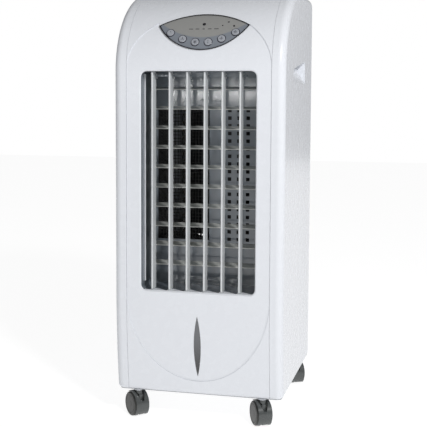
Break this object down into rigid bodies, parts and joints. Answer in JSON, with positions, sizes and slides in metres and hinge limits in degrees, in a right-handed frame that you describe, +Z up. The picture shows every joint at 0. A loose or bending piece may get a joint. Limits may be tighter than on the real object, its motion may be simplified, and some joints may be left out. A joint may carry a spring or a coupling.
{
  "type": "evaporative cooler",
  "caption": "Upright portable evaporative air cooler with a crowned front, tall slatted outlet, lens-shaped control panel, pull-out water tank and swivel casters.",
  "frame": {"origin": "on the floor under the middle of the cabinet's outline", "axes": "+X to the right seen from the front, the air outlet faces -Y, +Z up"},
  "size_m": [0.284, 0.304, 0.72],
  "materials": {
    "white_shell": "glossy white moulded ABS",
    "steel_screw": "zinc-plated steel",
    "grey_chassis": "matt grey polypropylene",
    "window_smoke": "smoked clear polycarbonate",
    "bezel_dark": "dark glossy rim",
    "panel_silver": "silver lacquered face",
    "button_silver": "silver lacquered caps",
    "circuit_board": "green laminate",
    "slat_silver": "silver-grey satin slats",
    "vane_silver": "grey satin vanes",
    "duct_grey": "dark grey moulded liner",
    "guard_wire": "black lacquered wire",
    "fan_black": "black glass-filled nylon",
    "shaft_steel": "ground steel",
    "motor_steel": "grey lacquered steel",
    "hose_rubber": "silicone hose",
    "pad_fibre": "corrugated cellulose",
    "caster_grey": "dark grey nylon hood",
    "caster_tread": "dark grey nylon wheel"
  },
  "bodies": {
    "cabinet": {"front_panel": "white_shell", "left_side_shell": "white_shell", "right_side_shell": "white_shell", "rear_cover": "white_shell", "caster_sockets": "white_shell", "slat_sill": "white_shell", "case_screws": "steel_screw", "base_pan": "grey_chassis", "distributor_tray": "grey_chassis", "swing_motor": "grey_chassis", "cord_gland": "grey_chassis", "water_level_window": "window_smoke", "control_bezel": "bezel_dark", "control_face": "panel_silver", "control_board": "circuit_board", "vane_combs": "vane_silver", "air_duct": "duct_grey", "outlet_guard": "guard_wire", "volute_housing": "fan_black", "fan_motor": "motor_steel", "riser_hose": "hose_rubber"},
    "slat_1": {"slat_1": "slat_silver"},
    "slat_2": {"slat_2": "slat_silver"},
    "slat_3": {"slat_3": "slat_silver"},
    "slat_4": {"slat_4": "slat_silver"},
    "slat_5": {"slat_5": "slat_silver"},
    "slat_6": {"slat_6": "slat_silver"},
    "slat_link": {"slat_link_bar": "duct_grey"},
    "vane_1": {"vane_1": "vane_silver"},
    "vane_2": {"vane_2": "vane_silver"},
    "vane_3": {"vane_3": "vane_silver"},
    "vane_4": {"vane_4": "vane_silver"},
    "vane_5": {"vane_5": "vane_silver"},
    "vane_6": {"vane_6": "vane_silver"},
    "vane_7": {"vane_7": "vane_silver"},
    "vane_8": {"vane_8": "vane_silver"},
    "vane_9": {"vane_9": "vane_silver"},
    "vane_10": {"vane_10": "vane_silver"},
    "vane_link": {"vane_link_bar": "vane_silver"},
    "button_1": {"button_1": "button_silver"},
    "button_2": {"button_2": "button_silver"},
    "button_3": {"button_3": "button_silver"},
    "button_4": {"button_4": "button_silver"},
    "button_5": {"button_5": "button_silver"},
    "button_6": {"button_6": "button_silver"},
    "caster_fl": {"caster_hood_fl": "caster_grey"},
    "wheels_fl": {"caster_wheels_fl": "caster_tread"},
    "caster_fr": {"caster_hood_fr": "caster_grey"},
    "wheels_fr": {"caster_wheels_fr": "caster_tread"},
    "caster_rl": {"caster_hood_rl": "caster_grey"},
    "wheels_rl": {"caster_wheels_rl": "caster_tread"},
    "caster_rr": {"caster_hood_rr": "caster_grey"},
    "wheels_rr": {"caster_wheels_rr": "caster_tread"},
    "blower": {"blower_wheel": "fan_black", "blower_shaft": "shaft_steel"},
    "tank": {"water_tank": "white_shell", "pump": "grey_chassis"},
    "rear_cassette": {"dust_filter": "white_shell", "pad_frame": "grey_chassis", "cooling_pad": "pad_fibre"}
  },
  "joints": [
    {"name": "slat_1_swing", "type": "hinge", "parent": "cabinet", "child": "slat_1", "pos_m": [-0.0783, -0.136, 0.4], "axis": [0, 0, 1], "range_deg": [-35, 35]},
    {"name": "slat_2_swing", "type": "hinge", "parent": "cabinet", "child": "slat_2", "pos_m": [-0.0489, -0.136, 0.4], "axis": [0, 0, 1], "range_deg": [-35, 35]},
    {"name": "slat_3_swing", "type": "hinge", "parent": "cabinet", "child": "slat_3", "pos_m": [-0.0195, -0.136, 0.4], "axis": [0, 0, 1], "range_deg": [-35, 35]},
    {"name": "slat_4_swing", "type": "hinge", "parent": "cabinet", "child": "slat_4", "pos_m": [0.0099, -0.136, 0.4], "axis": [0, 0, 1], "range_deg": [-35, 35]},
    {"name": "slat_5_swing", "type": "hinge", "parent": "cabinet", "child": "slat_5", "pos_m": [0.0393, -0.136, 0.4], "axis": [0, 0, 1], "range_deg": [-35, 35]},
    {"name": "slat_6_swing", "type": "hinge", "parent": "cabinet", "child": "slat_6", "pos_m": [0.0687, -0.136, 0.4], "axis": [0, 0, 1], "range_deg": [-35, 35]},
    {"name": "slat_link_turn", "type": "hinge", "parent": "slat_1", "child": "slat_link", "pos_m": [-0.0783, -0.119, 0.5733], "axis": [0, 0, 1], "range_deg": [-35, 35]},
    {"name": "vane_1_tilt", "type": "hinge", "parent": "cabinet", "child": "vane_1", "pos_m": [0, -0.098, 0.5533], "axis": [1, 0, 0], "range_deg": [-30, 30]},
    {"name": "vane_2_tilt", "type": "hinge", "parent": "cabinet", "child": "vane_2", "pos_m": [0, -0.098, 0.5206], "axis": [1, 0, 0], "range_deg": [-30, 30]},
    {"name": "vane_3_tilt", "type": "hinge", "parent": "cabinet", "child": "vane_3", "pos_m": [0, -0.098, 0.4879], "axis": [1, 0, 0], "range_deg": [-30, 30]},
    {"name": "vane_4_tilt", "type": "hinge", "parent": "cabinet", "child": "vane_4", "pos_m": [0, -0.098, 0.4552], "axis": [1, 0, 0], "range_deg": [-30, 30]},
    {"name": "vane_5_tilt", "type": "hinge", "parent": "cabinet", "child": "vane_5", "pos_m": [0, -0.098, 0.4225], "axis": [1, 0, 0], "range_deg": [-30, 30]},
    {"name": "vane_6_tilt", "type": "hinge", "parent": "cabinet", "child": "vane_6", "pos_m": [0, -0.098, 0.3898], "axis": [1, 0, 0], "range_deg": [-30, 30]},
    {"name": "vane_7_tilt", "type": "hinge", "parent": "cabinet", "child": "vane_7", "pos_m": [0, -0.098, 0.3571], "axis": [1, 0, 0], "range_deg": [-30, 30]},
    {"name": "vane_8_tilt", "type": "hinge", "parent": "cabinet", "child": "vane_8", "pos_m": [0, -0.098, 0.3244], "axis": [1, 0, 0], "range_deg": [-30, 30]},
    {"name": "vane_9_tilt", "type": "hinge", "parent": "cabinet", "child": "vane_9", "pos_m": [0, -0.098, 0.2917], "axis": [1, 0, 0], "range_deg": [-30, 30]},
    {"name": "vane_10_tilt", "type": "hinge", "parent": "cabinet", "child": "vane_10", "pos_m": [0, -0.098, 0.259], "axis": [1, 0, 0], "range_deg": [-30, 30]},
    {"name": "vane_link_turn", "type": "hinge", "parent": "vane_1", "child": "vane_link", "pos_m": [0.0851, -0.082, 0.5533], "axis": [1, 0, 0], "range_deg": [-30, 30]},
    {"name": "button_1_press", "type": "slide", "parent": "cabinet", "child": "button_1", "axis": [0, 0.8598, -0.5106], "range_m": [0, 0.001], "stiffness_N_per_m": 900},
    {"name": "button_2_press", "type": "slide", "parent": "cabinet", "child": "button_2", "axis": [0, 0.9025, -0.4307], "range_m": [0, 0.001], "stiffness_N_per_m": 900},
    {"name": "button_3_press", "type": "slide", "parent": "cabinet", "child": "button_3", "axis": [0, 0.921, -0.3896], "range_m": [0, 0.001], "stiffness_N_per_m": 900},
    {"name": "button_4_press", "type": "slide", "parent": "cabinet", "child": "button_4", "axis": [0, 0.921, -0.3896], "range_m": [0, 0.001], "stiffness_N_per_m": 900},
    {"name": "button_5_press", "type": "slide", "parent": "cabinet", "child": "button_5", "axis": [0, 0.9025, -0.4307], "range_m": [0, 0.001], "stiffness_N_per_m": 900},
    {"name": "button_6_press", "type": "slide", "parent": "cabinet", "child": "button_6", "axis": [0, 0.8598, -0.5106], "range_m": [0, 0.001], "stiffness_N_per_m": 900},
    {"name": "caster_fl_swivel", "type": "hinge", "parent": "cabinet", "child": "caster_fl", "pos_m": [-0.1065, -0.1303, 0.045], "axis": [0, 0, 1], "continuous": true},
    {"name": "wheels_fl_roll", "type": "hinge", "parent": "caster_fl", "child": "wheels_fl", "pos_m": [-0.11074, -0.12606, 0.0205], "axis": [0.7071, 0.7071, 0], "continuous": true},
    {"name": "caster_fr_swivel", "type": "hinge", "parent": "cabinet", "child": "caster_fr", "pos_m": [0.1065, -0.1303, 0.045], "axis": [0, 0, 1], "continuous": true},
    {"name": "wheels_fr_roll", "type": "hinge", "parent": "caster_fr", "child": "wheels_fr", "pos_m": [0.10341, -0.12516, 0.0205], "axis": [0.8572, 0.515, 0], "continuous": true},
    {"name": "caster_rl_swivel", "type": "hinge", "parent": "cabinet", "child": "caster_rl", "pos_m": [-0.1225, 0.1215, 0.045], "axis": [0, 0, 1], "continuous": true},
    {"name": "wheels_rl_roll", "type": "hinge", "parent": "caster_rl", "child": "wheels_rl", "pos_m": [-0.1195, 0.1267, 0.0205], "axis": [0.866, -0.5, 0], "continuous": true},
    {"name": "caster_rr_swivel", "type": "hinge", "parent": "cabinet", "child": "caster_rr", "pos_m": [0.1225, 0.1215, 0.045], "axis": [0, 0, 1], "continuous": true},
    {"name": "wheels_rr_roll", "type": "hinge", "parent": "caster_rr", "child": "wheels_rr", "pos_m": [0.1195, 0.1267, 0.0205], "axis": [0.866, 0.5, 0], "continuous": true},
    {"name": "blower_spin", "type": "hinge", "parent": "cabinet", "child": "blower", "pos_m": [0.014, 0.026, 0.4075], "axis": [0, 0, 1], "continuous": true},
    {"name": "tank_pull", "type": "slide", "parent": "cabinet", "child": "tank", "axis": [0, 1, 0], "range_m": [0, 0.24]},
    {"name": "cassette_pull", "type": "slide", "parent": "cabinet", "child": "rear_cassette", "axis": [0, 1, 0], "range_m": [0, 0.06]}
  ],
  "couplings": [
    {"joint": "slat_2_swing", "follows": "slat_1_swing", "ratio": 1},
    {"joint": "slat_3_swing", "follows": "slat_1_swing", "ratio": 1},
    {"joint": "slat_4_swing", "follows": "slat_1_swing", "ratio": 1},
    {"joint": "slat_5_swing", "follows": "slat_1_swing", "ratio": 1},
    {"joint": "slat_6_swing", "follows": "slat_1_swing", "ratio": 1},
    {"joint": "slat_link_turn", "follows": "slat_1_swing", "ratio": -1},
    {"joint": "vane_2_tilt", "follows": "vane_1_tilt", "ratio": 1},
    {"joint": "vane_3_tilt", "follows": "vane_1_tilt", "ratio": 1},
    {"joint": "vane_4_tilt", "follows": "vane_1_tilt", "ratio": 1},
    {"joint": "vane_5_tilt", "follows": "vane_1_tilt", "ratio": 1},
    {"joint": "vane_6_tilt", "follows": "vane_1_tilt", "ratio": 1},
    {"joint": "vane_7_tilt", "follows": "vane_1_tilt", "ratio": 1},
    {"joint": "vane_8_tilt", "follows": "vane_1_tilt", "ratio": 1},
    {"joint": "vane_9_tilt", "follows": "vane_1_tilt", "ratio": 1},
    {"joint": "vane_10_tilt", "follows": "vane_1_tilt", "ratio": 1},
    {"joint": "vane_link_turn", "follows": "vane_1_tilt", "ratio": -1}
  ]
}
